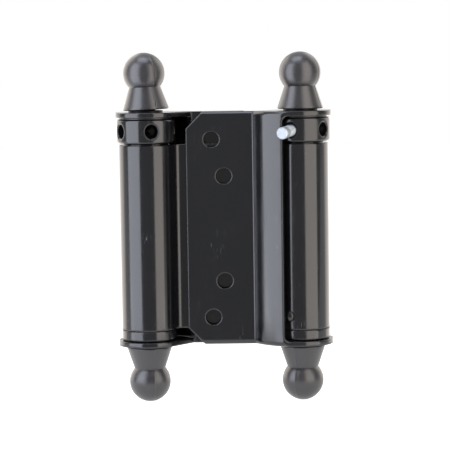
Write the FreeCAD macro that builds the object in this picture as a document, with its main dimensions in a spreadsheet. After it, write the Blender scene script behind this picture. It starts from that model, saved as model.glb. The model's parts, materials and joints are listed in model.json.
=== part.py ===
import FreeCAD, Part
import math
import os
import Sketcher

# Double action spring hinge for a cafe door. X runs to the right across both
# barrels, Y runs away from the viewer, Z is up. The origin is the middle of the
# hinge, which is unchanged by a half turn about Z. Sizes are in millimetres and
# angles in degrees.

SIZES = (
    # name, value, meaning
    ("axis_offset", 25.1, "each spindle axis from the middle"),
    ("tube_radius", 9.0, "outside of the rolled tubes"),
    ("web_sheet", 1.5, "sheet of the web and its tubes"),
    ("lead_in", 3.0, "bend from the web into a tube"),
    ("seam_gap", 0.2, "slit where the rolled edge meets the web"),
    ("leaf_height", 76.0, "height of both leaves"),
    ("leaf_sheet", 1.6, "sheet of both leaves"),
    ("leaf_face", 3.2, "mounting face of a leaf from the middle"),
    ("free_edge", 12.2, "free edge of a leaf past the middle"),
    ("crease", 9.5, "crease of a leaf from the middle"),
    ("crease_bend", 0.7, "bend radius in the crease"),
    ("corner_cut", 5.5, "chamfer at the free corners"),
    ("panel_radius", 19.5, "outside radius of the curved panel"),
    ("panel_clear", 1.37, "panel edge from the tube, for the rivet to pass"),
    ("edge_roll", 1.5, "rolled outer edge of the leaf and its folds"),
    ("edge_round", 0.3, "rounded sheet edges under the enamel"),
    ("ear_relief", 2.0, "rounded corner between the panel edge and an ear"),
    ("ear_lap", 0.4, "ear past the collar"),
    ("screw_radius", 2.5, "screw holes"),
    ("screw_sink", 1.1, "depth of the countersinks"),
    ("outer_screw_in", 3.9, "outer screw holes past the middle"),
    ("outer_screw_up", 29.0, "outer screw holes from mid height"),
    ("inner_screw_up", 17.1, "inner screw holes from mid height"),
    ("spindle_radius", 2.5, "spindles"),
    ("spindle_end", 8.0, "spindle end past the retainer"),
    ("spindle_chamfer", 0.4, "chamfer at the spindle ends"),
    ("running_gap", 0.05, "radial clearance on a spindle"),
    ("collar_step", 0.6, "collar past the tube"),
    ("collar_height", 7.7, "tension collars"),
    ("collar_gap", 0.6, "clearance above and below a collar"),
    ("collar_rim", 0.7, "rounded rims of a collar"),
    ("collar_spigot", 5.0, "collar spigot inside the tube"),
    ("spigot_gap", 0.2, "clearance between a spigot and its tube"),
    ("tommy_radius", 2.15, "tommy holes"),
    ("tommy_depth", 5.0, "tommy holes"),
    ("tommy_point", 1.2, "drill point of a tommy hole"),
    ("tommy_mouth", 0.5, "bevelled mouth of a tommy hole"),
    ("tommy_count", 5, "tommy holes in a collar"),
    ("pin_radius", 1.9, "tension pins"),
    ("pin_length", 12.3, "tension pins"),
    ("pin_chamfer", 0.25, "edges of a tension pin"),
    ("pin_gap", 0.1, "tension pin from the panel edge"),
    ("pin_angle", 21.5, "tension pin from straight ahead"),
    ("pin_droop", 4.5, "tension pin below level"),
    ("plug_flange", 3.3, "bottom plug outside the tube"),
    ("plug_seam", 0.1, "between plug and tube"),
    ("plug_gap", 0.2, "between plug and ear"),
    ("plug_spigot", 9.0, "plug spigot inside the tube"),
    ("plug_rim", 0.5, "rounded lower rim of the plug"),
    ("rivet_angle", 31.0, "anchor rivet from straight ahead"),
    ("rivet_up", 4.5, "anchor rivet above the tube end"),
    ("rivet_shank", 1.4, "radius of the rivet shank"),
    ("rivet_length", 3.5, "rivet shank"),
    ("rivet_head", 2.0, "radius of the rivet head"),
    ("rivet_dome", 1.05, "height of the rivet head"),
    ("rivet_gap", 0.05, "clearance around the rivet shank"),
    ("coil_clear", 1.1, "between the coil and its tube"),
    ("coil_wire", 1.8, "square spring wire"),
    ("coil_turns", 6, "turns of a spring"),
    ("coil_gap", 0.2, "between the coil and a spigot"),
    ("tang_radius", 0.8, "spring tangs"),
    ("tang_length", 3.0, "spring tangs"),
    ("tang_gap", 0.15, "clearance around a tang"),
    ("retainer_radius", 5.6, "push-on retainers"),
    ("retainer_sheet", 0.5, "sheet of a retainer"),
    ("retainer_dish", 0.3, "dished middle of a retainer"),
    ("retainer_flat", 4.2, "radius where the dish starts"),
    ("finial_base", 7.35, "radius of the finial foot"),
    ("finial_foot", 0.4, "bevelled edge of the finial foot"),
    ("finial_neck", 5.05, "radius of the finial neck"),
    ("finial_cone", 7.3, "height of the finial cone"),
    ("finial_ball", 6.7, "radius of the finial ball"),
    ("finial_bore_gap", 0.25, "clearance of the finial bore"),
    ("finial_bore_end", 0.6, "finial bore past the spindle end"),
    ("finial_lean", 2.5, "lean of the upper left finial"),
)

LEFT = -1
RIGHT = 1

doc = FreeCAD.newDocument("cafe_hinge")
sheet = doc.addObject("Spreadsheet::Sheet", "Sizes")


class Size:
    """A number together with the sheet expression that gives it."""

    def __init__(self, value, text):
        self.value = value
        self.text = text

    def joined(self, other, sign, value):
        return Size(value, "(" + self.text + " " + sign + " " + as_size(other).text + ")")

    def __add__(self, other):
        return self.joined(other, "+", self.value + as_size(other).value)

    def __sub__(self, other):
        return self.joined(other, "-", self.value - as_size(other).value)

    def __mul__(self, other):
        return self.joined(other, "*", self.value * as_size(other).value)

    def __truediv__(self, other):
        return self.joined(other, "/", self.value / as_size(other).value)

    def __neg__(self):
        return Size(-self.value, "(0 - " + self.text + ")")


def as_size(number):
    """Wrap a plain number, so that it can be used with the named sizes."""
    if isinstance(number, Size):
        return number
    return Size(float(number), repr(float(number)))


def sine(angle):
    return Size(math.sin(math.radians(angle.value)), "sin(" + angle.text + " * 1 deg)")


def cosine(angle):
    return Size(math.cos(math.radians(angle.value)), "cos(" + angle.text + " * 1 deg)")


def fill_sheet():
    """Write the driving sizes into the sheet and return them by name."""
    sizes = {}
    for row, (name, value, meaning) in enumerate(SIZES, start=1):
        sheet.set("A%d" % row, meaning)
        sheet.set("B%d" % row, str(value))
        sheet.setAlias("B%d" % row, name)
        sizes[name] = Size(float(value), "Sizes." + name)
    doc.recompute()
    return sizes


S = fill_sheet()
ZERO = as_size(0)

# Heights along the spindles, from the leaves inwards.
ear_top = S["leaf_height"] / 2
ear_under = ear_top - S["leaf_sheet"]
collar_top = ear_under - S["collar_gap"]
collar_foot = collar_top - S["collar_height"]
tube_top = collar_foot - S["collar_gap"]
plug_foot = -ear_under + S["plug_gap"]
tube_foot = plug_foot + S["plug_flange"] + S["plug_seam"]
tommy_height = (collar_top + collar_foot) / 2
spigot_foot = tube_top - S["collar_spigot"]
plug_top = tube_foot + S["plug_spigot"]
retainer_top = ear_top + S["retainer_sheet"] + S["retainer_dish"]
spindle_top = retainer_top + S["spindle_end"]

# Radii that fit one piece to another.
tube_bore = S["tube_radius"] - S["web_sheet"]
spigot_radius = tube_bore - S["spigot_gap"]
coil_radius = tube_bore - S["coil_clear"] - S["coil_wire"] / 2
running_bore = S["spindle_radius"] + S["running_gap"]
collar_radius = S["tube_radius"] + S["collar_step"]
ear_radius = collar_radius + S["ear_lap"]
panel_reach = S["tube_radius"] + S["panel_clear"] + S["leaf_sheet"]


def bind(thing, name, size):
    """Tie one property of an object to the sheet."""
    thing.setExpression(name, as_size(size).text)


def new_body(label):
    body = doc.addObject("PartDesign::Body", label)
    body.Label = label
    return body


def new_sketch(body, role, name, lift=None):
    """Start a sketch on one of the body's own origin planes, lifted along its normal."""
    sketch = body.newObject("Sketcher::SketchObject", name)
    plane = [item for item in body.Origin.OriginFeatures if item.Role == role][0]
    sketch.AttachmentSupport = [(plane, "")]
    sketch.MapMode = "FlatFace"
    if lift is not None:
        bind(sketch, "AttachmentOffset.Base.z", lift)
    return sketch


def point_of(vertex):
    return FreeCAD.Vector(vertex[0].value, vertex[1].value, 0)


def hold(sketch, kind, geometry, end, size):
    """Hold one coordinate of a sketch point at a size from the sheet."""
    index = sketch.addConstraint(Sketcher.Constraint(kind, -1, 1, geometry, end, size.value))
    bind(sketch, "Constraints[%d]" % index, size)


def hold_radius(sketch, geometry, size):
    index = sketch.addConstraint(Sketcher.Constraint("Radius", geometry, size.value))
    bind(sketch, "Constraints[%d]" % index, size)


def add_circle(sketch, across, up, radius):
    centre = point_of((across, up))
    circle = Part.Circle(centre, FreeCAD.Vector(0, 0, 1), radius.value)
    geometry = sketch.addGeometry(circle)
    hold(sketch, "DistanceX", geometry, 3, across)
    hold(sketch, "DistanceY", geometry, 3, up)
    hold_radius(sketch, geometry, radius)


def arc_centre(first, last, radius, left, large):
    """The centre of an arc between two points that bulges to the left or right of its chord."""
    chord = last - first
    half = chord.Length / 2
    away = math.sqrt(radius * radius - half * half)
    side = FreeCAD.Vector(-chord.y, chord.x, 0).normalize()
    return (first + last) * 0.5 + side * (away if left == large else -away)


def angle_from(centre, point):
    return math.atan2(point.y - centre.y, point.x - centre.x)


def add_outline(sketch, vertices, arcs=None):
    """Draw a closed outline through the vertices, straight apart from the given arcs.

    arcs maps the number of a vertex to (radius, bulges left, is more than half round)
    for the stretch that starts there.
    """
    arcs = arcs or {}
    corners = [point_of(vertex) for vertex in vertices]
    count = len(corners)
    starts = []
    for number, corner in enumerate(corners):
        following = corners[(number + 1) % count]
        if number in arcs:
            radius, left, large = arcs[number]
            centre = arc_centre(corner, following, radius.value, left, large)
            circle = Part.Circle(centre, FreeCAD.Vector(0, 0, 1), radius.value)
            ends = [angle_from(centre, corner), angle_from(centre, following)]
            first, last = reversed(ends) if left else ends
            geometry = sketch.addGeometry(Part.ArcOfCircle(circle, first, last))
            starts.append((geometry, 2 if left else 1))
        else:
            geometry = sketch.addGeometry(Part.LineSegment(corner, following))
            starts.append((geometry, 1))
    for number, (geometry, start) in enumerate(starts):
        before, before_start = starts[number - 1]
        sketch.addConstraint(Sketcher.Constraint("Coincident", before, 3 - before_start, geometry, start))
        hold(sketch, "DistanceX", geometry, start, vertices[number][0])
        hold(sketch, "DistanceY", geometry, start, vertices[number][1])
        if number in arcs:
            hold_radius(sketch, geometry, arcs[number][0])


def pad(body, sketch, name, length):
    feature = body.newObject("PartDesign::Pad", name)
    feature.Profile = sketch
    bind(feature, "Length", length)
    return feature


def pocket_through(body, sketch, name):
    """Cut the sketch right through the body, both ways."""
    feature = body.newObject("PartDesign::Pocket", name)
    feature.Profile = sketch
    feature.Type = "ThroughAll"
    feature.Midplane = True
    return feature


def revolve(body, sketch, name):
    """Turn a sketch round the body's Z axis."""
    feature = body.newObject("PartDesign::Revolution", name)
    feature.Profile = sketch
    feature.ReferenceAxis = (sketch, ["V_Axis"])
    feature.Angle = 360
    return feature


def turned_body(label, vertices, arcs=None):
    """A piece turned on a lathe: vertices are (radius, height) pairs."""
    body = new_body(label)
    sketch = new_sketch(body, "XZ_Plane", label + "_profile")
    add_outline(sketch, vertices, arcs)
    revolve(body, sketch, label + "_turning")
    doc.recompute()
    return body


def edges_where(shape, test):
    """Names of the edges whose middle, as (edge, point), passes a test."""
    names = []
    for number, edge in enumerate(shape.Edges, start=1):
        first, last = edge.ParameterRange
        if test(edge, edge.valueAt((first + last) / 2)):
            names.append("Edge%d" % number)
    return names


def dress(body, kind, name, size, test):
    """Fillet or chamfer the edges of the body that pass a test."""
    base = body.Tip
    names = edges_where(base.Shape, test)
    feature = body.newObject("PartDesign::" + kind, name)
    feature.Base = (base, names)
    bind(feature, "Radius" if kind == "Fillet" else "Size", size)
    doc.recompute()
    return feature


def drill(body, name, radius, length, start, direction):
    """Drill a round hole from a point in the body's own frame along a direction."""
    feature = body.newObject("PartDesign::SubtractiveCylinder", name)
    feature.MapMode = "Deactivated"
    bind(feature, "Radius", radius)
    bind(feature, "Height", length)
    turn = FreeCAD.Rotation(FreeCAD.Vector(0, 0, 1), direction)
    feature.Placement = FreeCAD.Placement(FreeCAD.Vector(*[size.value for size in start]), turn)
    for letter, size in zip("xyz", start):
        bind(feature, "Placement.Base." + letter, size)
    doc.recompute()
    return feature


def place(body, base, rotation=None):
    """Put a body at a point given by sizes, with a fixed rotation."""
    spot = FreeCAD.Vector(*[as_size(size).value for size in base])
    body.Placement = FreeCAD.Placement(spot, rotation or FreeCAD.Rotation())
    for letter, size in zip("xyz", base):
        bind(body, "Placement.Base." + letter, size)


def near(value, target):
    return abs(value - target) < 1e-4


def half_turn(side):
    """The left barrel is the right one after half a turn."""
    return 0 if side == RIGHT else 180


def about_z(angle):
    return FreeCAD.Rotation(FreeCAD.Vector(0, 0, 1), angle)


def ahead(angle):
    """A level direction, turned from straight ahead towards the right."""
    return about_z(angle).multVec(FreeCAD.Vector(0, -1, 0))


def side_name(side):
    return "right" if side == RIGHT else "left"


def axis_x(side):
    return S["axis_offset"] * side


# Center web: a sheet with each end rolled into a tube


def make_center_web():
    body = new_body("center_web")
    length = tube_top - tube_foot
    half_sheet = S["web_sheet"] / 2
    into_wall = S["axis_offset"] - tube_bore - half_sheet

    plate = new_sketch(body, "XY_Plane", "web_plate", tube_foot)
    add_outline(plate, (
        (-into_wall, -half_sheet),
        (into_wall, -half_sheet),
        (into_wall, half_sheet),
        (-into_wall, half_sheet),
    ))
    pad(body, plate, "web_pad", length)

    tubes = new_sketch(body, "XY_Plane", "tube_outsides", tube_foot)
    for side in (LEFT, RIGHT):
        add_circle(tubes, axis_x(side), ZERO, S["tube_radius"])
    pad(body, tubes, "tube_pad", length)
    doc.recompute()

    # The sheet bends into the left tube on the front and into the right one on the back.
    def is_lead_in(edge, middle):
        upright = near(middle.z, (tube_top.value + tube_foot.value) / 2)
        on_sheet = near(abs(middle.y), half_sheet.value)
        inside = abs(middle.x) < S["axis_offset"].value
        return upright and on_sheet and inside and middle.x * middle.y > 0

    dress(body, "Fillet", "lead_in_bends", S["lead_in"], is_lead_in)

    def is_rim(edge, middle):
        return near(middle.z, tube_top.value) or near(middle.z, tube_foot.value)

    dress(body, "Fillet", "web_rims", S["edge_round"], is_rim)
    bores = new_sketch(body, "XY_Plane", "tube_insides")
    for side in (LEFT, RIGHT):
        add_circle(bores, axis_x(side), ZERO, tube_bore)
    pocket_through(body, bores, "tube_bores")

    # The rolled edge stops just short of the web on the other side.
    seams = new_sketch(body, "XY_Plane", "seam_slits")
    for side in (LEFT, RIGHT):
        near_end = (S["axis_offset"] - S["tube_radius"] - half_sheet) * side
        far_end = (S["axis_offset"] - tube_bore + half_sheet) * side
        slit_start = -half_sheet * side
        slit_end = -(half_sheet + S["seam_gap"]) * side
        add_outline(seams, (
            (near_end, slit_start),
            (far_end, slit_start),
            (far_end, slit_end),
            (near_end, slit_end),
        ))
    pocket_through(body, seams, "seam_cuts")
    doc.recompute()

    for side in (LEFT, RIGHT):
        direction = ahead(half_turn(side) - S["rivet_angle"].value)
        drill(
            body, side_name(side) + "_rivet_hole", S["rivet_shank"] + S["rivet_gap"],
            S["tube_radius"] * 2 - tube_bore, (axis_x(side), ZERO, tube_foot + S["rivet_up"]), direction,
        )
    return body


# Leaves: one folded sheet each


def make_leaf(label, side):
    """The leaf that carries the barrel on the given side, drawn for the right barrel."""
    body = new_body(label)
    face = -S["leaf_face"]
    back = face + S["leaf_sheet"]
    stand_off = S["pin_radius"] + S["pin_gap"]
    pin_sine = sine(S["pin_angle"])
    pin_cosine = cosine(S["pin_angle"])
    edge_x = S["axis_offset"] - panel_reach * pin_sine - stand_off * pin_cosine
    edge_y = stand_off * pin_sine - panel_reach * pin_cosine
    inner_x = edge_x + S["leaf_sheet"] * pin_sine
    inner_y = edge_y + S["leaf_sheet"] * pin_cosine
    inner_radius = S["panel_radius"] - S["leaf_sheet"]
    outer_crease = FreeCAD.Vector(S["crease"].value, face.value, 0)
    edge = FreeCAD.Vector(edge_x.value, edge_y.value, 0)
    hub = arc_centre(outer_crease, edge, S["panel_radius"].value, False, False)
    inner_crease = as_size(hub.x - math.sqrt(inner_radius.value ** 2 - (back.value - hub.y) ** 2))

    section = new_sketch(body, "XY_Plane", label + "_section", -ear_top)
    add_outline(section, (
        (-S["free_edge"], face),
        (S["crease"], face),
        (edge_x, edge_y),
        (inner_x, inner_y),
        (inner_crease, back),
        (-S["free_edge"], back),
    ), {1: (S["panel_radius"], False, False), 3: (inner_radius, True, False)})
    pad(body, section, label + "_sheet", S["leaf_height"])

    # Ear outline: along the panel, then tangent to the round end on both sides.
    tips = []
    for start, turn in (((edge_x, edge_y), 1), ((S["crease"], face), -1)):
        across = start[0].value - S["axis_offset"].value
        along = start[1].value
        reach = math.hypot(across, along)
        angle = math.degrees(math.atan2(along, across) + turn * math.acos(ear_radius.value / reach))
        direction = as_size(angle)
        tips.append((S["axis_offset"] + ear_radius * cosine(direction), ear_radius * sine(direction)))
    front_tip, back_tip = tips
    ear = new_sketch(body, "XY_Plane", label + "_ear_outline", ear_under)
    add_outline(ear, (
        (S["crease"], face),
        (edge_x, edge_y),
        front_tip,
        back_tip,
    ), {0: (S["panel_radius"], False, False), 2: (ear_radius, False, True)})
    upper = pad(body, ear, label + "_upper_ear", S["leaf_sheet"])
    mirror = body.newObject("PartDesign::Mirrored", label + "_ears")
    mirror.Originals = [upper]
    mirror.MirrorPlane = ([item for item in body.Origin.OriginFeatures if item.Role == "XY_Plane"][0], [""])
    body.Tip = mirror
    doc.recompute()

    def is_free_corner(edge, middle):
        at_edge = near(middle.x, -S["free_edge"].value)
        return at_edge and near(abs(middle.z), ear_top.value) and near(edge.Length, S["leaf_sheet"].value)

    dress(body, "Chamfer", label + "_corners", S["corner_cut"], is_free_corner)

    def is_crease(edge, middle):
        upright = near(middle.z, 0) and edge.Length > 2 * ear_under.value
        return upright and near(middle.x, S["crease"].value) and near(middle.y, face.value)

    dress(body, "Fillet", label + "_crease", S["crease_bend"], is_crease)

    def is_relief(edge, middle):
        at_edge = near(middle.x, (edge_x.value + inner_x.value) / 2) and near(middle.y, (edge_y.value + inner_y.value) / 2)
        return at_edge and near(abs(middle.z), ear_under.value)

    dress(body, "Fillet", label + "_reliefs", S["ear_relief"], is_relief)

    def is_outer_edge(edge, middle):
        level = near(abs(middle.z), ear_top.value)
        in_front = middle.y < face.value + 1e-4 and middle.x < edge_x.value
        return level and in_front

    dress(body, "Fillet", label + "_rolled_edges", S["edge_roll"], is_outer_edge)

    screws = new_sketch(body, "XZ_Plane", label + "_screws")
    for up in (1, -1):
        add_circle(screws, -S["outer_screw_in"], S["outer_screw_up"] * up, S["screw_radius"])
        add_circle(screws, ZERO, S["inner_screw_up"] * up, S["screw_radius"])
    pocket_through(body, screws, label + "_screw_holes")

    spindle = new_sketch(body, "XY_Plane", label + "_spindle")
    add_circle(spindle, S["axis_offset"], ZERO, running_bore)
    pocket_through(body, spindle, label + "_spindle_holes")
    doc.recompute()

    def is_screw_mouth(edge, middle):
        round_hole = isinstance(edge.Curve, Part.Circle) and near(edge.Curve.Radius, S["screw_radius"].value)
        return round_hole and near(middle.y, back.value)

    dress(body, "Chamfer", label + "_countersinks", S["screw_sink"], is_screw_mouth)

    def is_front_edge(edge, middle):
        on_face = near(middle.y, face.value)
        at_end = near(middle.x, -S["free_edge"].value)
        rim = isinstance(edge.Curve, Part.Circle) and near(edge.Curve.Radius, S["screw_radius"].value)
        cut = abs(middle.z) > ear_top.value - S["corner_cut"].value and middle.x < -S["outer_screw_in"].value
        return on_face and (at_end or rim or cut) and abs(middle.z) < ear_top.value - S["edge_roll"].value

    dress(body, "Fillet", label + "_edges", S["edge_round"], is_front_edge)
    body.Placement = FreeCAD.Placement(FreeCAD.Vector(), about_z(half_turn(side)))
    return body


# Pieces of one barrel


def make_spindle(side):
    inset = S["spindle_radius"] - S["spindle_chamfer"]
    shoulder = spindle_top - S["spindle_chamfer"]
    body = turned_body(side_name(side) + "_spindle", (
        (ZERO, -spindle_top),
        (inset, -spindle_top),
        (S["spindle_radius"], -shoulder),
        (S["spindle_radius"], shoulder),
        (inset, spindle_top),
        (ZERO, spindle_top),
    ))
    place(body, (axis_x(side), ZERO, ZERO))
    return body


def tang_spot(angle):
    """Where a spring tang stands, at an angle round the spindle."""
    return coil_radius.value * about_z(angle).multVec(FreeCAD.Vector(1, 0, 0))


def make_collar(side):
    label = side_name(side) + "_collar"
    turn = half_turn(side) - S["pin_angle"].value
    body = turned_body(label, (
        (running_bore, spigot_foot),
        (spigot_radius, spigot_foot),
        (spigot_radius, collar_foot),
        (collar_radius, collar_foot),
        (collar_radius, collar_top),
        (running_bore, collar_top),
    ))

    def is_rim(edge, middle):
        return near(math.hypot(middle.x, middle.y), collar_radius.value) and not near(middle.z, tommy_height.value)

    dress(body, "Fillet", label + "_rims", S["collar_rim"], is_rim)
    floor = collar_radius - S["tommy_depth"]
    brim = collar_radius + S["tommy_mouth"]
    flare = S["tommy_radius"] + S["tommy_mouth"]
    drilling = new_sketch(body, "XY_Plane", label + "_tommy_drilling", tommy_height)
    add_outline(drilling, (
        (ZERO, S["tommy_point"] - floor),
        (ZERO, -brim),
        (flare, -brim),
        (flare, -collar_radius),
        (S["tommy_radius"], S["tommy_mouth"] - collar_radius),
        (S["tommy_radius"], -floor),
    ))
    hole = body.newObject("PartDesign::Groove", label + "_tommy_hole")
    hole.Profile = drilling
    hole.ReferenceAxis = (drilling, ["V_Axis"])
    hole.Angle = 360
    doc.recompute()
    ring = body.newObject("PartDesign::PolarPattern", label + "_tommy_holes")
    ring.Originals = [hole]
    ring.Axis = ([item for item in body.Origin.OriginFeatures if item.Role == "Z_Axis"][0], [""])
    ring.Angle = 360
    bind(ring, "Occurrences", S["tommy_count"])
    body.Tip = ring
    doc.recompute()
    spot = tang_spot(half_turn(side) - turn)
    drill(
        body, label + "_tang_hole", S["tang_radius"] + S["tang_gap"], S["tang_length"],
        (as_size(spot.x), as_size(spot.y), spigot_foot), FreeCAD.Vector(0, 0, 1),
    )
    place(body, (axis_x(side), ZERO, ZERO), about_z(turn))
    return body


def make_bottom_plug(side):
    label = side_name(side) + "_bottom_plug"
    flange_top = tube_foot - S["plug_seam"]
    body = turned_body(label, (
        (running_bore, plug_foot),
        (S["tube_radius"], plug_foot),
        (S["tube_radius"], flange_top),
        (spigot_radius, flange_top),
        (spigot_radius, plug_top),
        (running_bore, plug_top),
    ))

    def is_lower_rim(edge, middle):
        return near(math.hypot(middle.x, middle.y), S["tube_radius"].value) and near(middle.z, plug_foot.value)

    dress(body, "Fillet", label + "_rim", S["plug_rim"], is_lower_rim)
    hole = S["rivet_shank"] + S["rivet_gap"]
    floor = S["tube_radius"] - S["rivet_length"] - S["rivet_gap"]
    direction = ahead(-S["rivet_angle"].value)
    drill(
        body, label + "_rivet_hole", hole, S["rivet_length"] * 2,
        (floor * direction.x, floor * direction.y, tube_foot + S["rivet_up"]), direction,
    )
    spot = tang_spot(0)
    drill(
        body, label + "_tang_hole", S["tang_radius"] + S["tang_gap"], S["tang_length"] + S["coil_gap"],
        (as_size(spot.x), as_size(spot.y), plug_top - S["tang_length"]), FreeCAD.Vector(0, 0, 1),
    )
    place(body, (axis_x(side), ZERO, ZERO), about_z(half_turn(side)))
    return body


def make_anchor_rivet(side):
    label = side_name(side) + "_anchor_rivet"
    dome_radius = (S["rivet_head"] * S["rivet_head"] + S["rivet_dome"] * S["rivet_dome"]) / (S["rivet_dome"] * 2)
    body = turned_body(label, (
        (ZERO, -S["rivet_length"]),
        (S["rivet_shank"], -S["rivet_length"]),
        (S["rivet_shank"], ZERO),
        (S["rivet_head"], ZERO),
        (ZERO, S["rivet_dome"]),
    ), {3: (dome_radius, False, False)})
    direction = ahead(half_turn(side) - S["rivet_angle"].value)
    rotation = FreeCAD.Rotation(FreeCAD.Vector(0, 0, 1), direction)
    seat = S["tube_radius"]
    place(body, (
        axis_x(side) + seat * direction.x,
        seat * direction.y,
        tube_foot + S["rivet_up"],
    ), rotation)
    return body


def make_tension_pin(side):
    label = side_name(side) + "_tension_pin"
    inset = S["pin_radius"] - S["pin_chamfer"]
    middle = S["tommy_depth"] / 2
    body = turned_body(label, (
        (ZERO, -middle),
        (inset, -middle),
        (S["pin_radius"], S["pin_chamfer"] - middle),
        (S["pin_radius"], S["pin_length"] - middle - S["pin_chamfer"]),
        (inset, S["pin_length"] - middle),
        (ZERO, S["pin_length"] - middle),
    ))
    level = ahead(half_turn(side) - S["pin_angle"].value)
    droop = math.radians(S["pin_droop"].value)
    direction = level * math.cos(droop) - FreeCAD.Vector(0, 0, math.sin(droop))
    seat = collar_radius - middle + S["pin_gap"] * 2
    rotation = FreeCAD.Rotation(FreeCAD.Vector(0, 0, 1), direction)
    place(body, (axis_x(side) + seat * level.x, seat * level.y, tommy_height), rotation)
    return body


def make_spring(side):
    """A torsion spring of square wire, with a straight tang into the plug and the collar."""
    label = side_name(side) + "_spring"
    body = new_body(label)
    half_wire = S["coil_wire"] / 2
    coil_foot = plug_top + S["coil_gap"]
    coil_top = spigot_foot - S["coil_gap"]
    wire = new_sketch(body, "XZ_Plane", label + "_wire")
    add_outline(wire, (
        (coil_radius - half_wire, coil_foot),
        (coil_radius + half_wire, coil_foot),
        (coil_radius + half_wire, coil_foot + S["coil_wire"]),
        (coil_radius - half_wire, coil_foot + S["coil_wire"]),
    ))
    coil = body.newObject("PartDesign::AdditiveHelix", label + "_coil")
    coil.Profile = wire
    coil.ReferenceAxis = (wire, ["V_Axis"])
    coil.Mode = "height-turns-angle"
    rise = coil_top - coil_foot - S["coil_wire"]
    bind(coil, "Height", rise)
    bind(coil, "Turns", S["coil_turns"])
    doc.recompute()
    spot = tang_spot(0)
    length = S["tang_length"] + S["coil_gap"]
    for name, foot in (("lower", plug_top - S["tang_length"] + S["tang_gap"]), ("upper", coil_top - half_wire)):
        tang = body.newObject("PartDesign::AdditiveCylinder", label + "_" + name + "_tang")
        tang.MapMode = "Deactivated"
        bind(tang, "Radius", S["tang_radius"])
        bind(tang, "Height", length + half_wire - S["tang_gap"])
        tang.Placement = FreeCAD.Placement(FreeCAD.Vector(spot.x, spot.y, foot.value), FreeCAD.Rotation())
        bind(tang, "Placement.Base.x", coil_radius)
        bind(tang, "Placement.Base.z", foot)
        doc.recompute()
    place(body, (axis_x(side), ZERO, ZERO), about_z(half_turn(side)))
    return body


# Ends of the spindles


def make_retainer(side, up):
    """A dished push-on ring that holds a spindle in its ear."""
    label = ("upper_" if up > 0 else "lower_") + side_name(side) + "_retainer"
    flat = S["retainer_flat"]
    body = turned_body(label, (
        (running_bore, S["retainer_dish"]),
        (flat, ZERO),
        (S["retainer_radius"], ZERO),
        (S["retainer_radius"], S["retainer_sheet"]),
        (flat, S["retainer_sheet"]),
        (running_bore, S["retainer_sheet"] + S["retainer_dish"]),
    ))
    upright = FreeCAD.Rotation() if up > 0 else FreeCAD.Rotation(FreeCAD.Vector(1, 0, 0), 180)
    place(body, (axis_x(side), ZERO, ear_top * up), upright)
    return body


def make_finial(side, up):
    """A moulded ball on a cone, bored for the end of a spindle."""
    label = ("upper_" if up > 0 else "lower_") + side_name(side) + "_finial"
    bore = S["spindle_radius"] + S["finial_bore_gap"]
    bore_top = S["retainer_dish"] + S["spindle_end"] + S["finial_bore_end"]
    seat_radius = S["retainer_flat"]
    rise = math.sqrt(S["finial_ball"].value ** 2 - S["finial_neck"].value ** 2)
    top = S["finial_cone"] + as_size(rise) + S["finial_ball"]
    seat_top = S["retainer_dish"] + S["finial_bore_gap"]
    body = turned_body(label, (
        (seat_radius, ZERO),
        (S["finial_base"] - S["finial_foot"], ZERO),
        (S["finial_base"], S["finial_foot"]),
        (S["finial_neck"], S["finial_cone"]),
        (ZERO, top),
        (ZERO, bore_top),
        (bore, bore_top),
        (bore, seat_top),
        (seat_radius, seat_top),
    ), {3: (S["finial_ball"], False, False)})
    leaning = side == LEFT and up > 0
    lean = S["finial_lean"] if leaning else ZERO
    lift = S["finial_base"] * sine(lean)
    rotation = FreeCAD.Rotation(FreeCAD.Vector(0, 1, 0), -lean.value)
    if up < 0:
        rotation = FreeCAD.Rotation(FreeCAD.Vector(1, 0, 0), 180)
    shift = bore_top / 2 * sine(lean)
    place(body, (axis_x(side) + shift, ZERO, (ear_top + S["retainer_sheet"] + lift) * up), rotation)
    return body


def make_hinge():
    """Every piece of the hinge, one body each."""
    pieces = [make_center_web(), make_leaf("front_leaf", RIGHT), make_leaf("rear_leaf", LEFT)]
    for side in (LEFT, RIGHT):
        pieces.append(make_spindle(side))
        pieces.append(make_collar(side))
        pieces.append(make_bottom_plug(side))
        pieces.append(make_anchor_rivet(side))
        pieces.append(make_tension_pin(side))
        pieces.append(make_spring(side))
        for up in (1, -1):
            pieces.append(make_retainer(side, up))
            pieces.append(make_finial(side, up))
    return pieces


def check(pieces):
    """Stop before anything is written if an object failed or a piece is not one valid solid."""
    for thing in doc.Objects:
        if "Invalid" in thing.State or "Error" in thing.State:
            raise RuntimeError(thing.Name + " did not build")
    for piece in pieces:
        shape = piece.Shape
        if shape.isNull() or not shape.isValid() or len(shape.Solids) != 1:
            raise RuntimeError(piece.Label + " is not one valid solid")


pieces = make_hinge()
doc.recompute()
check(pieces)
os.makedirs("parts", exist_ok=True)
for piece in pieces:
    piece.Shape.exportStep("parts/" + piece.Label + ".step")
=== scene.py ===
import json
import math

import bmesh
import bpy
from mathutils import Matrix, Vector


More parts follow.
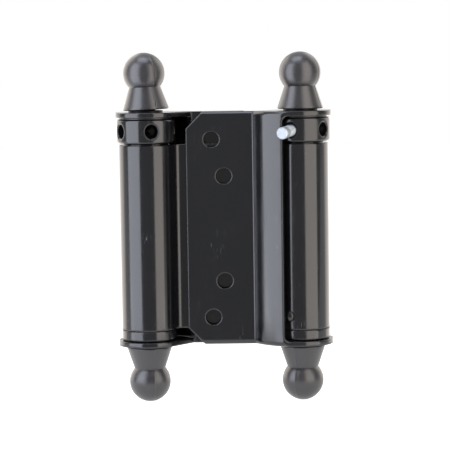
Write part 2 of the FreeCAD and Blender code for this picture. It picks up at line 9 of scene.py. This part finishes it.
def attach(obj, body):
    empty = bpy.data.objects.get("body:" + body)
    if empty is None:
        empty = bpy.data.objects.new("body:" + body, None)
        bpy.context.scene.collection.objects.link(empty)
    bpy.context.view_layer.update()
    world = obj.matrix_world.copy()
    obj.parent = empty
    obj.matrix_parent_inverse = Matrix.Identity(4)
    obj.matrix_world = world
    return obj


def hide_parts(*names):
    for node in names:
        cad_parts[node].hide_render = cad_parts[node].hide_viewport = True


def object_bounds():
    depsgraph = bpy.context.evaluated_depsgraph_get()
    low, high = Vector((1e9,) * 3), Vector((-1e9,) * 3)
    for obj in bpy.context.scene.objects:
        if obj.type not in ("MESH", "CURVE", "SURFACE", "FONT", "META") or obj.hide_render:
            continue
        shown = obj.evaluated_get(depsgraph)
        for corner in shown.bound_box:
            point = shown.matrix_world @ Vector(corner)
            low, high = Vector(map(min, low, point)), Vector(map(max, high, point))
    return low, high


MM = 0.001

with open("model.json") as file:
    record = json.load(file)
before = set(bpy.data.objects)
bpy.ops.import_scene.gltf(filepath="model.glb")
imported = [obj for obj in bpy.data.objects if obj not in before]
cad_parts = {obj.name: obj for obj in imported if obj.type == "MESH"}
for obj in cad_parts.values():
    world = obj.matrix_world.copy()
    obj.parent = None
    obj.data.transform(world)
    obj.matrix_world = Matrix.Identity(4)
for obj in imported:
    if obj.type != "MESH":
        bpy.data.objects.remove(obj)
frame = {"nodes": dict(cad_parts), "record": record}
cad_box = [list(corner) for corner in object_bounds()]
nodes = frame["nodes"]

# Sizes of the hinge that the dressed pieces need, in millimetres

AXIS_X = 25.1
EAR_TOP = 38.0
LEAF_SHEET = 1.6
COLLAR_GAP = 0.6
RETAINER_SHEET = 0.5
RETAINER_DISH = 0.3
RETAINER_FLAT = 4.2
SPINDLE_RADIUS = 2.5
SPINDLE_END = 8.0
FINIAL_BASE = 7.35
FINIAL_FOOT = 0.4
FINIAL_NECK = 5.05
FINIAL_CONE = 7.3
FINIAL_BALL = 6.7
FINIAL_BORE_GAP = 0.25
FINIAL_BORE_END = 0.6
FINIAL_BORE_TOP = RETAINER_DISH + SPINDLE_END + FINIAL_BORE_END
FINIAL_LEAN = 2.5
COLLAR_RADIUS = 9.6
TOMMY_DEPTH = 5.0
TOMMY_HEIGHT = 31.95
PIN_RADIUS = 1.9
PIN_LENGTH = 12.3
PIN_CHAMFER = 0.25
PIN_GAP = 0.1
PIN_ANGLE = 21.5
PIN_DROOP = 4.5
PIN_PLAIN_END = 2.9
THREAD_PITCH = 0.85
THREAD_DEPTH = 0.26

LEFT = -1
RIGHT = 1


def side_name(side):
    """The word for a side in the names of nodes and pieces."""
    return "right" if side == RIGHT else "left"


# Colours and shader nodes


def linear(hex_colour):
    """An sRGB hex colour as linear red, green, blue and alpha."""
    channels = [int(hex_colour[i:i + 2], 16) / 255 for i in (1, 3, 5)]
    return [c / 12.92 if c <= 0.04045 else ((c + 0.055) / 1.055) ** 2.4 for c in channels] + [1.0]


def add_node(tree, kind, settings=None, **links):
    """Add a node, set its properties or input values, and link its inputs.

    An input is named by its label with spaces as underscores, or by its number as i0, i1 and so on.
    """
    node = tree.nodes.new(kind)
    for name, value in (settings or {}).items():
        if isinstance(name, int):
            node.inputs[name].default_value = value
        elif name in node.inputs:
            node.inputs[name].default_value = value
        else:
            setattr(node, name, value)
    for name, socket in links.items():
        is_number = name[0] == "i" and name[1:].isdigit()
        target = node.inputs[int(name[1:])] if is_number else node.inputs[name.replace("_", " ")]
        tree.links.new(socket, target)
    return node


def new_material(name):
    """An empty node material with its output node."""
    material = bpy.data.materials.new(name)
    material.use_nodes = True
    tree = material.node_tree
    tree.nodes.clear()
    return material, tree, tree.nodes.new("ShaderNodeOutputMaterial")


def per_metre(size_mm):
    """The texture scale that gives features of about this size in millimetres."""
    return 1 / (size_mm * MM)


# Knocks and rubs on the enamel: x, y, z and radius in millimetres
WORN_SPOTS = (
    (-3.5, -3.2, -6.8, 4.2),
    (4.2, -3.2, -34.0, 2.6),
    (17.6, -9.5, -5.2, 2.2),
    (-23.2, -9.0, -30.2, 1.6),
    (-24.9, -9.0, -2.4, 2.2),
    (12.0, -5.6, 9.6, 1.1),
    (23.0, -9.0, -18.2, 1.8),
    (24.2, -9.0, -31.0, 2.8),
)

# The enamel draws back from sharp edges and rounds them by about this radius, in millimetres
ENAMEL_EDGE = 0.8
EDGE_SAMPLES = 8


def worn_places(tree, place):
    """One at the middle of each worn spot, falling to nothing at its radius."""
    worn = None
    for x, y, z, radius in WORN_SPOTS:
        middle = (x * MM, y * MM, z * MM)
        away = add_node(tree, "ShaderNodeVectorMath", {"operation": "DISTANCE", 1: middle}, i0=place)
        spot = add_node(tree, "ShaderNodeMapRange", {"From Min": radius * MM, "From Max": 0.0},
                        Value=away.outputs["Value"]).outputs["Result"]
        if worn is not None:
            larger = add_node(tree, "ShaderNodeMath", {"operation": "MAXIMUM"}, i0=worn, i1=spot)
            spot = larger.outputs["Value"]
        worn = spot
    return worn


def black_enamel():
    """Stove enamel on pressed steel: deep gloss black, soft edges, faint orange peel, rubs and dust."""
    material, tree, output = new_material("stove_enamel_black")
    place = add_node(tree, "ShaderNodeTexCoord").outputs["Object"]

    cloud = add_node(tree, "ShaderNodeTexNoise", {"Scale": per_metre(9), "Detail": 4.0}, Vector=place)
    rough = add_node(tree, "ShaderNodeMapRange",
                     {"From Min": 0.35, "From Max": 0.7, "To Min": 0.12, "To Max": 0.2},
                     Value=cloud.outputs["Fac"])

    # Rub marks are fine pale streaks, kept to the worn spots and to a few patches elsewhere.
    stretched = add_node(tree, "ShaderNodeMapping", {"Scale": (1.0, 1.0, 0.2), "Rotation": (0.0, 0.8, 0.0)},
                         Vector=place)
    streak = add_node(tree, "ShaderNodeTexNoise", {"Scale": per_metre(0.6), "Detail": 3.0},
                      Vector=stretched.outputs["Vector"])
    patch = add_node(tree, "ShaderNodeTexNoise", {"Scale": per_metre(14), "Detail": 2.0}, Vector=place)
    patch_on = add_node(tree, "ShaderNodeMapRange", {"From Min": 0.58, "From Max": 0.8, "To Max": 0.35},
                        Value=patch.outputs["Fac"])
    places = add_node(tree, "ShaderNodeMath", {"operation": "MAXIMUM"},
                      i0=patch_on.outputs["Result"], i1=worn_places(tree, place))
    streak_on = add_node(tree, "ShaderNodeMapRange", {"From Min": 0.56, "From Max": 0.72},
                         Value=streak.outputs["Fac"])
    rubbed = add_node(tree, "ShaderNodeMath", {"operation": "MULTIPLY"},
                      i0=streak_on.outputs["Result"], i1=places.outputs["Value"])

    # Dust specks are drawn at 0.4 mm, coarser than real dust, so that they show.
    dust = add_node(tree, "ShaderNodeTexNoise", {"Scale": per_metre(0.8), "Detail": 1.0}, Vector=place)
    dust_on = add_node(tree, "ShaderNodeMapRange", {"From Min": 0.77, "From Max": 0.82, "To Max": 0.4},
                       Value=dust.outputs["Fac"])
    mark = add_node(tree, "ShaderNodeMath", {"operation": "MAXIMUM"},
                    i0=rubbed.outputs["Value"], i1=dust_on.outputs["Result"])
    colour = add_node(tree, "ShaderNodeMix", {"data_type": "RGBA"}, i0=mark.outputs["Value"])
    colour.inputs[6].default_value = linear("#0f1012")
    colour.inputs[7].default_value = linear("#4d5157")
    dull = add_node(tree, "ShaderNodeMath", {"operation": "MULTIPLY_ADD", 1: 0.3},
                    i0=mark.outputs["Value"], i2=rough.outputs["Result"])
    peel = add_node(tree, "ShaderNodeTexNoise", {"Scale": per_metre(1.6), "Detail": 1.0}, Vector=place)
    rounded = add_node(tree, "ShaderNodeBevel", {"samples": EDGE_SAMPLES, "Radius": ENAMEL_EDGE * MM})
    bump = add_node(tree, "ShaderNodeBump", {"Strength": 0.03, "Distance": 0.1 * MM},
                    Normal=rounded.outputs["Normal"], Height=peel.outputs["Fac"])
    shader = add_node(tree, "ShaderNodeBsdfPrincipled", {"IOR": 1.52},
                      Base_Color=colour.outputs[2], Roughness=dull.outputs["Value"],
                      Normal=bump.outputs["Normal"])
    tree.links.new(shader.outputs["BSDF"], output.inputs["Surface"])
    return material


def moulded_plastic():
    """Injection moulded polypropylene: grey-black, a soft shine, the fine grain of a spark-eroded mould.

    The grain is drawn at 0.35 mm, coarser than a real one, so that it shows.
    """
    material, tree, output = new_material("moulded_polypropylene_black")
    place = add_node(tree, "ShaderNodeTexCoord").outputs["Object"]
    cloud = add_node(tree, "ShaderNodeTexNoise", {"Scale": per_metre(4), "Detail": 3.0}, Vector=place)
    colour = add_node(tree, "ShaderNodeMix", {"data_type": "RGBA"}, i0=cloud.outputs["Fac"])
    colour.inputs[6].default_value = linear("#1a1a1c")
    colour.inputs[7].default_value = linear("#242426")
    grain = add_node(tree, "ShaderNodeTexNoise", {"Scale": per_metre(0.35), "Detail": 2.0}, Vector=place)
    rough = add_node(tree, "ShaderNodeMapRange", {"To Min": 0.29, "To Max": 0.37},
                     Value=grain.outputs["Fac"])
    bump = add_node(tree, "ShaderNodeBump", {"Strength": 0.12, "Distance": 0.05 * MM},
                    Height=grain.outputs["Fac"])
    shader = add_node(tree, "ShaderNodeBsdfPrincipled", {"IOR": 1.6},
                      Base_Color=colour.outputs[2], Roughness=rough.outputs["Result"],
                      Normal=bump.outputs["Normal"])
    tree.links.new(shader.outputs["BSDF"], output.inputs["Surface"])
    return material


def zinc_plate():
    """Bright zinc plating on turned steel: cool white metal, a little dulled by stain."""
    material, tree, output = new_material("bright_zinc_plate")
    place = add_node(tree, "ShaderNodeTexCoord").outputs["Object"]
    stain = add_node(tree, "ShaderNodeTexNoise", {"Scale": per_metre(1.5), "Detail": 3.0}, Vector=place)
    colour = add_node(tree, "ShaderNodeMix", {"data_type": "RGBA"}, i0=stain.outputs["Fac"])
    colour.inputs[6].default_value = linear("#b4bbc0")
    colour.inputs[7].default_value = linear("#8e969b")
    rough = add_node(tree, "ShaderNodeMapRange", {"To Min": 0.48, "To Max": 0.6}, Value=stain.outputs["Fac"])
    shader = add_node(tree, "ShaderNodeBsdfPrincipled", {"Metallic": 1.0},
                      Base_Color=colour.outputs[2], Roughness=rough.outputs["Result"])
    tree.links.new(shader.outputs["BSDF"], output.inputs["Surface"])
    return material


def turned_steel(name, pale, dark, least_rough, most_rough):
    """Bare steel from the lathe or the spring winder: grey metal with an oil film."""
    material, tree, output = new_material(name)
    place = add_node(tree, "ShaderNodeTexCoord").outputs["Object"]
    film = add_node(tree, "ShaderNodeTexNoise", {"Scale": per_metre(2.5), "Detail": 3.0}, Vector=place)
    colour = add_node(tree, "ShaderNodeMix", {"data_type": "RGBA"}, i0=film.outputs["Fac"])
    colour.inputs[6].default_value = linear(pale)
    colour.inputs[7].default_value = linear(dark)
    rough = add_node(tree, "ShaderNodeMapRange", {"To Min": least_rough, "To Max": most_rough},
                     Value=film.outputs["Fac"])
    shader = add_node(tree, "ShaderNodeBsdfPrincipled", {"Metallic": 1.0},
                      Base_Color=colour.outputs[2], Roughness=rough.outputs["Result"])
    tree.links.new(shader.outputs["BSDF"], output.inputs["Surface"])
    return material


finishes = {
    "black_enamel": black_enamel(),
    "black_plastic": moulded_plastic(),
    "zinc_steel": zinc_plate(),
    "bright_steel": turned_steel("turned_mild_steel", "#b4b4b2", "#8c8c8a", 0.25, 0.4),
    "spring_steel": turned_steel("oiled_spring_steel", "#6a6865", "#4a4845", 0.3, 0.5),
}


def dress_cad_nodes():
    """Give every CAD node the finish of its slot; the push-on retainers get dark oil-blackened steel over
    it, which also paints the shade under the finials.
    """
    # The retainers' dark steel is partly their finish and partly painted shade in the gap under each finial.
    blackened_as_shade = turned_steel("oil_blackened_steel_painted_shade", "#2b2a29", "#1b1a1a", 0.35, 0.55)
    for part in frame["record"]["subparts"]:
        thing = nodes[part["node"]]
        thing.data.materials.clear()
        is_retainer = part["node"].endswith("_retainer")
        thing.data.materials.append(blackened_as_shade if is_retainer else finishes[part["material_slot"]])


dress_cad_nodes()

# Moulded finials, threaded pins and dark washers that paint the shade in the collar gaps, in millimetres and
# degrees until they are meshed

ON_AXIS = 1e-4
SHARP_ANGLE = 35.0


def ring_mesh(name, rings, material):
    """A closed turned form from rings of points, each a step along an outline that closes on itself."""
    count = len(rings[0])
    mesh = bpy.data.meshes.new(name)
    form = bmesh.new()
    points = [[form.verts.new(Vector(point) * MM) for point in ring] for ring in rings]
    on_axis = [(Vector(ring[0]) - Vector(ring[count // 2])).length < ON_AXIS for ring in rings]
    for row in range(len(rings)):
        after = (row + 1) % len(rings)
        if on_axis[row] and on_axis[after]:
            continue
        here = points[row]
        there = points[after]
        for column in range(count):
            beside = (column + 1) % count
            form.faces.new((here[column], here[beside], there[beside], there[column]))
    bmesh.ops.remove_doubles(form, verts=form.verts, dist=ON_AXIS * MM)
    bmesh.ops.recalc_face_normals(form, faces=form.faces)
    form.to_mesh(mesh)
    form.free()
    mesh.materials.append(material)
    piece = bpy.data.objects.new(name, mesh)
    bpy.context.scene.collection.objects.link(piece)
    return piece


def smooth(piece):
    """Smooth shading, apart from the corners."""
    for polygon in piece.data.polygons:
        polygon.use_smooth = True
    piece.data.set_sharp_from_angle(angle=math.radians(SHARP_ANGLE))


def stands_for(piece, node):
    """Smooth a dressed piece and put it in the place of its CAD node."""
    body = [name for name, members in frame["record"]["behaviour"]["bodies"].items() if node in members][0]
    smooth(piece)
    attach(piece, body)
    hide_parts(node)


FOOT_STEPS = 4
CONE_STEPS = 10
BALL_STEPS = 26
MOULD_STEPS = 72
SEAM_HEIGHT = 0.13
SEAM_WIDTH = 2.4
MOULD_STEP = 0.07
NICK_HEIGHT = 0.22
NICK_UP = 2.6
NICK_LENGTH = 0.9


def finial_outline():
    """Radius and height along the outside of a finial, then along its bore."""
    rise = math.sqrt(FINIAL_BALL ** 2 - FINIAL_NECK ** 2)
    middle = FINIAL_CONE + rise
    start = -math.asin(rise / FINIAL_BALL)
    outside = [(RETAINER_FLAT, 0.0)]
    for step in range(FOOT_STEPS + 1):
        turn = math.radians(90 * step / FOOT_STEPS)
        outside.append((FINIAL_BASE - FINIAL_FOOT * (1 - math.sin(turn)),
                        FINIAL_FOOT * (1 - math.cos(turn))))
    for step in range(1, CONE_STEPS + 1):
        share = step / CONE_STEPS
        outside.append((FINIAL_BASE + (FINIAL_NECK - FINIAL_BASE) * share,
                        FINIAL_FOOT + (FINIAL_CONE - FINIAL_FOOT) * share))
    for step in range(1, BALL_STEPS + 1):
        turn = start + (math.pi / 2 - start) * step / BALL_STEPS
        outside.append((FINIAL_BALL * math.cos(turn), middle + FINIAL_BALL * math.sin(turn)))
    bore = SPINDLE_RADIUS + FINIAL_BORE_GAP
    seat_top = RETAINER_DISH + FINIAL_BORE_GAP
    inside = [(0.0, FINIAL_BORE_TOP), (bore, FINIAL_BORE_TOP), (bore, seat_top), (RETAINER_FLAT, seat_top)]
    return outside, inside


def seam_relief(from_seam, up, nicked):
    """How far the skin stands out at an angle from the parting line: a fine ridge with a step beside it."""
    across = min(abs(from_seam), abs(abs(from_seam) - 180))
    ridge = SEAM_HEIGHT
    if nicked and abs(from_seam) < 90:
        ridge += NICK_HEIGHT * math.exp(-((up - NICK_UP) / NICK_LENGTH) ** 2)
    step = MOULD_STEP if from_seam < 0 else 0.0
    return step + ridge * max(0.0, 1 - across / SEAM_WIDTH)


def make_finial(side, up, seam, nicked):
    """A moulded ball on a cone; seam is the angle of its parting line from straight ahead, to the right.

    The upper left one leans a little, as far as the play in its bore lets it.
    """
    name = ("upper_" if up > 0 else "lower_") + side_name(side) + "_finial"
    beside = [-SEAM_WIDTH, -SEAM_WIDTH / 2, 0.0, SEAM_WIDTH / 2, SEAM_WIDTH]
    turns = {360 * step / MOULD_STEPS for step in range(MOULD_STEPS)}
    turns |= {(line + offset) % 360 for line in (0, 180) for offset in beside}
    lean = math.radians(FINIAL_LEAN) if side == LEFT and up > 0 else 0.0
    shift = FINIAL_BORE_TOP / 2 * math.sin(lean)
    lift = FINIAL_BASE * math.sin(lean)
    spot = Vector((AXIS_X * side + shift, 0, EAR_TOP + RETAINER_SHEET + lift))
    tilt = Matrix.Rotation(-lean, 3, "Y")
    outside, inside = finial_outline()
    rings = []
    for number, (radius, height) in enumerate(outside + inside):
        ring = []
        for turn in sorted(turns):
            from_seam = turn if turn <= 180 else turn - 360
            on_skin = 1 < number < len(outside)
            fade = min(1.0, radius / FINIAL_NECK)
            reach = radius + (seam_relief(from_seam, height, nicked) * fade if on_skin else 0.0)
            angle = math.radians(turn + seam)
            point = tilt @ Vector((reach * math.sin(angle), -reach * math.cos(angle), height)) + spot
            ring.append((point.x, point.y, point.z * up))
        rings.append(ring)
    piece = ring_mesh(name + "_moulding", rings, finishes["black_plastic"])
    stands_for(piece, name)


THREAD_ROWS = 110
THREAD_TURN_STEPS = 40
THREAD_RUN_OUT = 0.5


def thread_sink(along, turn):
    """Depth of a V thread below the crest, running out smoothly at the plain end and the point."""
    wave = (along / THREAD_PITCH - turn / 360) % 1.0
    start = PIN_LENGTH - PIN_PLAIN_END - along
    run_out = min(1.0, max(0.0, start / THREAD_RUN_OUT), max(0.0, (along - PIN_CHAMFER) / THREAD_RUN_OUT))
    return THREAD_DEPTH * (1 - abs(2 * wave - 1)) * run_out


def make_tension_pin(side):
    """A threaded zinc pin in its tommy hole, with a plain chamfered end."""
    name = side_name(side) + "_tension_pin"
    level = Vector((-math.sin(math.radians(PIN_ANGLE)), -math.cos(math.radians(PIN_ANGLE)), 0)) * side
    droop = math.radians(PIN_DROOP)
    along = level * math.cos(droop) - Vector((0, 0, math.sin(droop)))
    across = along.cross(Vector((0, 0, 1))).normalized()
    upward = across.cross(along)
    seat = COLLAR_RADIUS - TOMMY_DEPTH / 2 + 2 * PIN_GAP
    spot = Vector((AXIS_X * side, 0, TOMMY_HEIGHT)) + level * seat - along * TOMMY_DEPTH / 2
    inset = PIN_RADIUS - PIN_CHAMFER
    rows = [(0.0, 0.0), (inset, 0.0)]
    for step in range(THREAD_ROWS + 1):
        rows.append((PIN_RADIUS, PIN_CHAMFER + (PIN_LENGTH - 2 * PIN_CHAMFER) * step / THREAD_ROWS))
    rows += [(inset, PIN_LENGTH), (0.0, PIN_LENGTH)]
    rings = []
    for radius, height in rows:
        ring = []
        for step in range(THREAD_TURN_STEPS):
            turn = 360 * step / THREAD_TURN_STEPS
            reach = radius - thread_sink(height, turn) if radius == PIN_RADIUS else radius
            angle = math.radians(turn)
            outward = across * math.cos(angle) + upward * math.sin(angle)
            ring.append(spot + along * height + outward * reach)
        rings.append(ring)
    piece = ring_mesh(name + "_thread", rings, finishes["zinc_steel"])
    stands_for(piece, name)


WASHER_RADIUS = 8.6
WASHER_BORE = 2.55
WASHER_ROUND = 0.15
WASHER_PLAY_BELOW = 0.02
WASHER_PLAY_ABOVE = 0.04
WASHER_FOOT = EAR_TOP - LEAF_SHEET - COLLAR_GAP + WASHER_PLAY_BELOW
WASHER_TOP = EAR_TOP - LEAF_SHEET - WASHER_PLAY_ABOVE
WASHER_STEPS = 64


def make_gap_shade_washer(side):
    """A thin moulded washer between a collar and the ear above it, in dark plastic that paints the shade in
    that gap.
    """
    name = side_name(side) + "_gap_shade_washer"
    outline = (
        (WASHER_BORE, WASHER_FOOT),
        (WASHER_RADIUS - WASHER_ROUND, WASHER_FOOT),
        (WASHER_RADIUS, WASHER_FOOT + WASHER_ROUND),
        (WASHER_RADIUS, WASHER_TOP - WASHER_ROUND),
        (WASHER_RADIUS - WASHER_ROUND, WASHER_TOP),
        (WASHER_BORE, WASHER_TOP),
    )
    turns = [math.tau * step / WASHER_STEPS for step in range(WASHER_STEPS)]
    rings = [[(AXIS_X * side + radius * math.cos(turn), radius * math.sin(turn), height) for turn in turns]
             for radius, height in outline]
    piece = ring_mesh(name, rings, finishes["black_plastic"])
    smooth(piece)
    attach(piece, side_name(side) + "_collar")


make_finial(LEFT, 1, 32.0, True)
make_finial(RIGHT, 1, 66.0, False)
make_finial(LEFT, -1, 16.0, False)
make_finial(RIGHT, -1, -24.0, False)
# Each barrel gets a threaded pin and a dark washer, which paints the shade in the gap above its collar
for barrel in (LEFT, RIGHT):
    make_tension_pin(barrel)
    make_gap_shade_washer(barrel)

# Camera, matched to the photograph

CAMERA_DISTANCE = 625.0
CAMERA_AZIMUTH = 1.15
CAMERA_ELEVATION = 5.5
CAMERA_ROLL = 0.85
CAMERA_TARGET = (0.16, 0.0, 0.88)
FRAME_WIDTH = 146.7
SENSOR = 36.0


def set_camera():
    """A camera where the photograph was taken from, with its slight roll."""
    camera = bpy.data.cameras.new("camera")
    camera.sensor_width = SENSOR
    camera.lens = SENSOR * CAMERA_DISTANCE / FRAME_WIDTH
    camera.clip_start = 0.01
    thing = bpy.data.objects.new("camera", camera)
    bpy.context.scene.collection.objects.link(thing)
    azimuth = math.radians(CAMERA_AZIMUTH)
    elevation = math.radians(CAMERA_ELEVATION)
    roll = math.radians(CAMERA_ROLL)
    back = Vector((
        math.sin(azimuth) * math.cos(elevation),
        -math.cos(azimuth) * math.cos(elevation),
        math.sin(elevation),
    ))
    right = Vector((0, 0, 1)).cross(back).normalized()
    up = back.cross(right)
    rolled_up = up * math.cos(roll) + right * math.sin(roll)
    rolled_right = right * math.cos(roll) - up * math.sin(roll)
    turn = Matrix((rolled_right, rolled_up, back)).transposed().to_4x4()
    spot = (Vector(CAMERA_TARGET) + back * CAMERA_DISTANCE) * MM
    thing.matrix_world = Matrix.Translation(spot) @ turn
    bpy.context.scene.camera = thing


# Studio: pale floor, white surround, two softboxes in front, one overhead and two strips behind

FLOOR_HALF = 1.5
FLOOR_FRONT = 0.08
FLOOR_GREY = 0.5
FLOOR_GLOW = 0.97
ROOM_LEVEL = 0.42
FILL_LEVEL = 0.35
SOFTBOX_HEIGHT = 420.0
LEFT_BOX = ((-83.0, -125.0), (-155.0, -30.0))
RIGHT_BOX = ((56.0, -125.0), (125.0, -49.0))
LEFT_STRIP = ((-140.0, 30.0), (-60.0, 160.0))
RIGHT_STRIP = ((140.0, 40.0), (60.0, 160.0))
OVERHEAD_SPOT = (-40.0, -40.0, 330.0)
OVERHEAD_SIZE = (200.0, 170.0)
OVERHEAD_RADIANCE = 5.0


def softbox(name, ends, radiance, colour):
    """An upright area light between two points of the floor plan, facing the hinge."""
    first, last = [Vector((x, y, 0)) * MM for x, y in ends]
    middle = (first + last) / 2
    along = (last - first).normalized()
    out = along.cross(Vector((0, 0, 1)))
    if out.dot(middle) < 0:
        out = -out
    light = bpy.data.lights.new(name, "AREA")
    light.shape = "RECTANGLE"
    light.size = (last - first).length
    light.size_y = SOFTBOX_HEIGHT * MM
    light.energy = radiance * math.pi * light.size * light.size_y
    light.color = linear(colour)[:3]
    thing = bpy.data.objects.new(name, light)
    bpy.context.scene.collection.objects.link(thing)
    up = Vector((0, 0, 1))
    right = up.cross(out)
    thing.matrix_world = Matrix.Translation(middle) @ Matrix((right, up, out)).transposed().to_4x4()


def overhead_softbox():
    """A softbox above the hinge, a little to the left, for the tops of the finials and the edges."""
    light = bpy.data.lights.new("overhead_softbox", "AREA")
    light.shape = "RECTANGLE"
    light.size, light.size_y = [side * MM for side in OVERHEAD_SIZE]
    light.energy = OVERHEAD_RADIANCE * math.pi * light.size * light.size_y
    light.color = linear("#e9edff")[:3]
    thing = bpy.data.objects.new("overhead_softbox", light)
    thing.location = Vector(OVERHEAD_SPOT) * MM
    bpy.context.scene.collection.objects.link(thing)


def seen_ray(tree):
    """One where a ray comes from the camera, a reflection or a refraction."""
    path = add_node(tree, "ShaderNodeLightPath")
    shiny = add_node(tree, "ShaderNodeMath", {"operation": "MAXIMUM"},
                     i0=path.outputs["Is Glossy Ray"], i1=path.outputs["Is Transmission Ray"])
    seen = add_node(tree, "ShaderNodeMath", {"operation": "MAXIMUM"},
                    i0=path.outputs["Is Camera Ray"], i1=shiny.outputs["Value"])
    return path, seen.outputs["Value"]


def set_world():
    """White behind the hinge, and a dim room on the side of the camera."""
    world = bpy.data.worlds.new("studio")
    bpy.context.scene.world = world
    world.use_nodes = True
    tree = world.node_tree
    tree.nodes.clear()
    path, seen = seen_ray(tree)
    direction = add_node(tree, "ShaderNodeTexCoord").outputs["Generated"]
    parts = add_node(tree, "ShaderNodeSeparateXYZ", Vector=direction)
    behind = add_node(tree, "ShaderNodeMapRange",
                      {"From Min": 0.12, "From Max": 0.24, "To Min": ROOM_LEVEL, "To Max": 1.0},
                      Value=parts.outputs["Y"])
    shown = add_node(tree, "ShaderNodeMath", {"operation": "MAXIMUM"},
                     i0=behind.outputs["Result"], i1=path.outputs["Is Camera Ray"])
    strength = add_node(tree, "ShaderNodeMix", {"data_type": "FLOAT", 2: FILL_LEVEL}, i0=seen)
    tree.links.new(shown.outputs["Value"], strength.inputs[3])
    background = add_node(tree, "ShaderNodeBackground", {"Color": (1, 1, 1, 1)},
                          Strength=strength.outputs[0])
    output = tree.nodes.new("ShaderNodeOutputWorld")
    tree.links.new(background.outputs["Background"], output.inputs["Surface"])


def set_floor():
    """A pale floor that ends just in front of the picture, so that the gloss shows the dim room there."""
    mesh = bpy.data.meshes.new("floor")
    level = cad_box[0][2]
    mesh.from_pydata([
        (-FLOOR_HALF, -FLOOR_FRONT, level),
        (FLOOR_HALF, -FLOOR_FRONT, level),
        (FLOOR_HALF, FLOOR_HALF, level),
        (-FLOOR_HALF, FLOOR_HALF, level),
    ], [], [(0, 1, 2, 3)])
    floor = bpy.data.objects.new("floor", mesh)
    bpy.context.scene.collection.objects.link(floor)
    material, tree, output = new_material("white_floor")
    seen = seen_ray(tree)[1]
    diffuse = add_node(tree, "ShaderNodeBsdfDiffuse", {"Color": (FLOOR_GREY, FLOOR_GREY, FLOOR_GREY, 1)})
    glow = add_node(tree, "ShaderNodeEmission", {"Color": (1, 1, 1, 1), "Strength": FLOOR_GLOW})
    lit = add_node(tree, "ShaderNodeAddShader", i0=diffuse.outputs["BSDF"], i1=glow.outputs["Emission"])
    mixed = add_node(tree, "ShaderNodeMixShader",
                     i0=seen, i1=diffuse.outputs["BSDF"], i2=lit.outputs["Shader"])
    tree.links.new(mixed.outputs["Shader"], output.inputs["Surface"])
    mesh.materials.append(material)


set_camera()
set_world()
set_floor()
softbox("left_softbox", LEFT_BOX, 5.0, "#eef1ff")
softbox("right_softbox", RIGHT_BOX, 3.3, "#fff6f0")
softbox("left_strip", LEFT_STRIP, 1.9, "#fff3e8")
softbox("right_strip", RIGHT_STRIP, 1.5, "#fff3e8")
overhead_softbox()

bpy.context.scene.view_settings.view_transform = "Standard"
